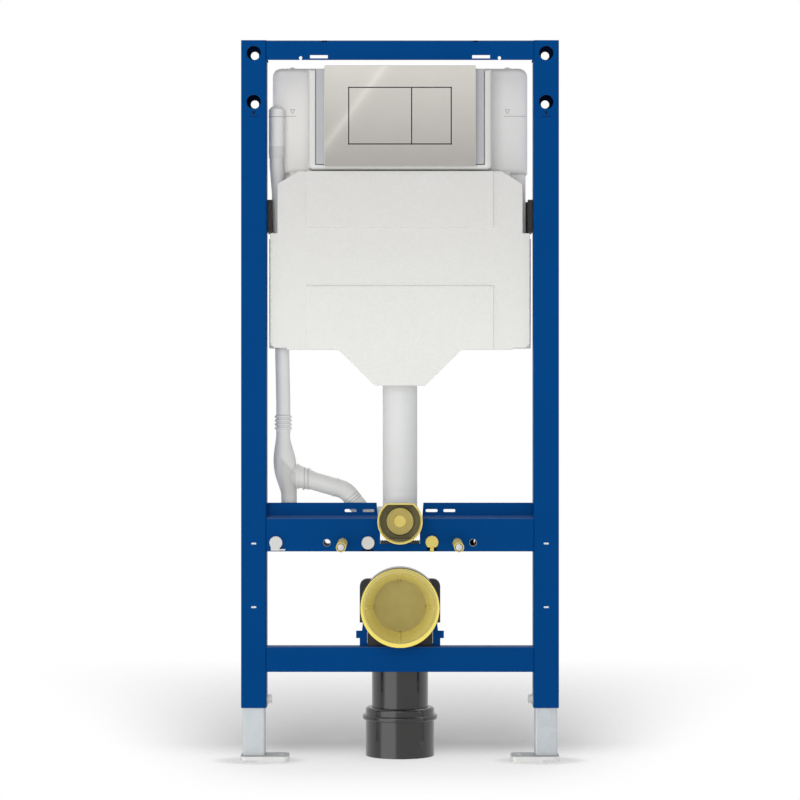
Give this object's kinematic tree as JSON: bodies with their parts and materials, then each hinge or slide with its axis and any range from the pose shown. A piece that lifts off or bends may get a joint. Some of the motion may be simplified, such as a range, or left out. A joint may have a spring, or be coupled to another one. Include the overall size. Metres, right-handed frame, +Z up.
{
  "type": "wall hung toilet frame",
  "caption": "Steel installation frame on adjustable legs with a concealed cistern, dual flush plate, flush and waste connections, air extraction line and toilet studs.",
  "frame": {"origin": "on the floor, midway between the two floor bolts, in the middle of the uprights' depth", "axes": "+X to the right as seen from the room, +Y back to the wall, +Z up"},
  "size_m": [0.502, 0.288, 1.135],
  "materials": {
    "blue_paint": "semi-gloss powder coat",
    "galvanised_steel": "bright galvanised",
    "zinc_plated_steel": "zinc plated",
    "yellow_plastic": "smooth moulded",
    "grey_plastic": "smooth moulded",
    "cistern_plastic": "blow moulded, satin",
    "frame_plastic": "smooth moulded",
    "white_foam": "moulded bead foam",
    "satin_plate": "satin metallised",
    "black_plastic": "smooth moulded",
    "brass": "machined"
  },
  "bodies": {
    "frame": {"left_upright": "blue_paint", "right_upright": "blue_paint", "top_rail": "blue_paint", "middle_rail": "blue_paint", "lower_rail": "blue_paint", "waste_bracket": "blue_paint", "left_clamp_bolt": "zinc_plated_steel", "right_clamp_bolt": "zinc_plated_steel", "left_nut_plate": "zinc_plated_steel", "right_nut_plate": "zinc_plated_steel", "left_stud": "zinc_plated_steel", "right_stud": "zinc_plated_steel", "left_stud_sleeve": "yellow_plastic", "right_stud_sleeve": "yellow_plastic", "yellow_knob": "yellow_plastic", "flush_plug": "yellow_plastic", "waste_plug": "yellow_plastic", "grey_end_plug": "grey_plastic", "grey_button": "grey_plastic", "flush_pipe": "grey_plastic", "flush_bend": "grey_plastic", "vent_cap": "grey_plastic", "vent_pipe": "grey_plastic", "vent_bellows": "grey_plastic", "vent_tee": "grey_plastic", "vent_branch": "grey_plastic", "cistern_tank": "cistern_plastic", "plate_frame": "frame_plastic", "insulation_cover": "white_foam", "flush_plate": "satin_plate", "left_cistern_clip": "black_plastic", "right_cistern_clip": "black_plastic", "flush_bend_clip": "black_plastic", "waste_bend": "black_plastic", "waste_holder": "black_plastic", "waste_adapter": "black_plastic", "water_inlet": "brass"},
    "left_leg": {"left_leg": "galvanised_steel", "left_swivel_bolt": "zinc_plated_steel"},
    "right_leg": {"right_leg": "galvanised_steel", "right_swivel_bolt": "zinc_plated_steel"},
    "left_foot": {"left_foot_plate": "galvanised_steel"},
    "right_foot": {"right_foot_plate": "galvanised_steel"},
    "full_flush_key": {"full_flush_key": "satin_plate"},
    "half_flush_key": {"half_flush_key": "satin_plate"}
  },
  "joints": [
    {"name": "left_leg_slide", "type": "slide", "parent": "frame", "child": "left_leg", "axis": [0, 0, -1], "range_m": [-0.07, 0.13]},
    {"name": "right_leg_slide", "type": "slide", "parent": "frame", "child": "right_leg", "axis": [0, 0, -1], "range_m": [-0.07, 0.13]},
    {"name": "left_foot_swivel", "type": "hinge", "parent": "left_leg", "child": "left_foot", "pos_m": [-0.23, 0, 0], "axis": [0, 0, 1], "range_deg": [-90, 90]},
    {"name": "right_foot_swivel", "type": "hinge", "parent": "right_leg", "child": "right_foot", "pos_m": [0.23, 0, 0], "axis": [0, 0, 1], "range_deg": [-90, 90]},
    {"name": "full_flush_key_press", "type": "slide", "parent": "frame", "child": "full_flush_key", "axis": [0, 1, 0], "range_m": [0, 0.0035], "stiffness_N_per_m": 600, "springref_m": -0.003},
    {"name": "half_flush_key_press", "type": "slide", "parent": "frame", "child": "half_flush_key", "axis": [0, 1, 0], "range_m": [0, 0.0035], "stiffness_N_per_m": 600, "springref_m": -0.003}
  ]
}
